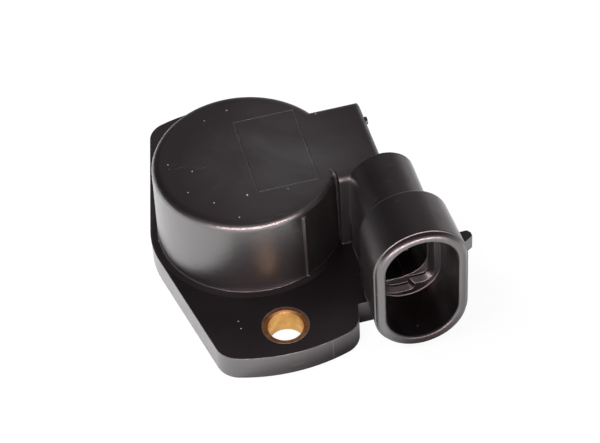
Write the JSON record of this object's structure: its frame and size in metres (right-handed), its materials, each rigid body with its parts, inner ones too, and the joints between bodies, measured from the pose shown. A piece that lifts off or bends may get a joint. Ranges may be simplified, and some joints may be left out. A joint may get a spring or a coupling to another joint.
{
  "type": "throttle position sensor",
  "caption": "Rotary throttle position sensor: round body on a lobed flange with bushed fixing holes, side arm, hooded plug socket and a sprung rotor with a keyed shaft socket.",
  "frame": {"origin": "on the rotor axis at the flat mounting face of the flange", "axes": "+Z from the mounting face toward the closed body top, +Y along the line of the two fixing holes away from the plug mouth, +X toward the arm that carries the plug"},
  "size_m": [0.0466, 0.0575, 0.0251],
  "materials": {
    "housing_plastic": "satin black, fine mould texture",
    "bush_brass": "turned",
    "terminal_metal": "tin plated strip",
    "board_laminate": "satin laminate",
    "carbon_ink": "printed film",
    "silver_ink": "printed film",
    "pad_copper": "etched foil",
    "rotor_plastic": "natural moulding",
    "contact_bronze": "rolled strip",
    "spring_steel": "rolled strip",
    "seal_rubber": "matt",
    "cover_plastic": "satin black"
  },
  "bodies": {
    "case": {"housing": "housing_plastic", "front_bush": "bush_brass", "rear_bush": "bush_brass", "terminal_lower": "terminal_metal", "terminal_middle": "terminal_metal", "terminal_upper": "terminal_metal", "track_board": "board_laminate", "resistor_track": "carbon_ink", "collector_track": "silver_ink", "contact_pad_a": "pad_copper", "contact_pad_b": "pad_copper", "contact_pad_c": "pad_copper", "return_spring": "spring_steel", "thrust_washer": "rotor_plastic", "hub_seal": "seal_rubber", "rear_cover": "cover_plastic", "mounting_seal": "seal_rubber"},
    "rotor_unit": {"rotor": "rotor_plastic", "wiper_leaf": "contact_bronze", "shaft_clip": "spring_steel"}
  },
  "joints": [
    {"name": "rotor_turn", "type": "hinge", "parent": "case", "child": "rotor_unit", "pos_m": [0, 0, 0.008], "axis": [0, 0, 1], "range_deg": [0, 100], "stiffness_Nm_per_rad": 0.005, "springref_deg": -28.65, "deforming": ["return_spring"]}
  ]
}
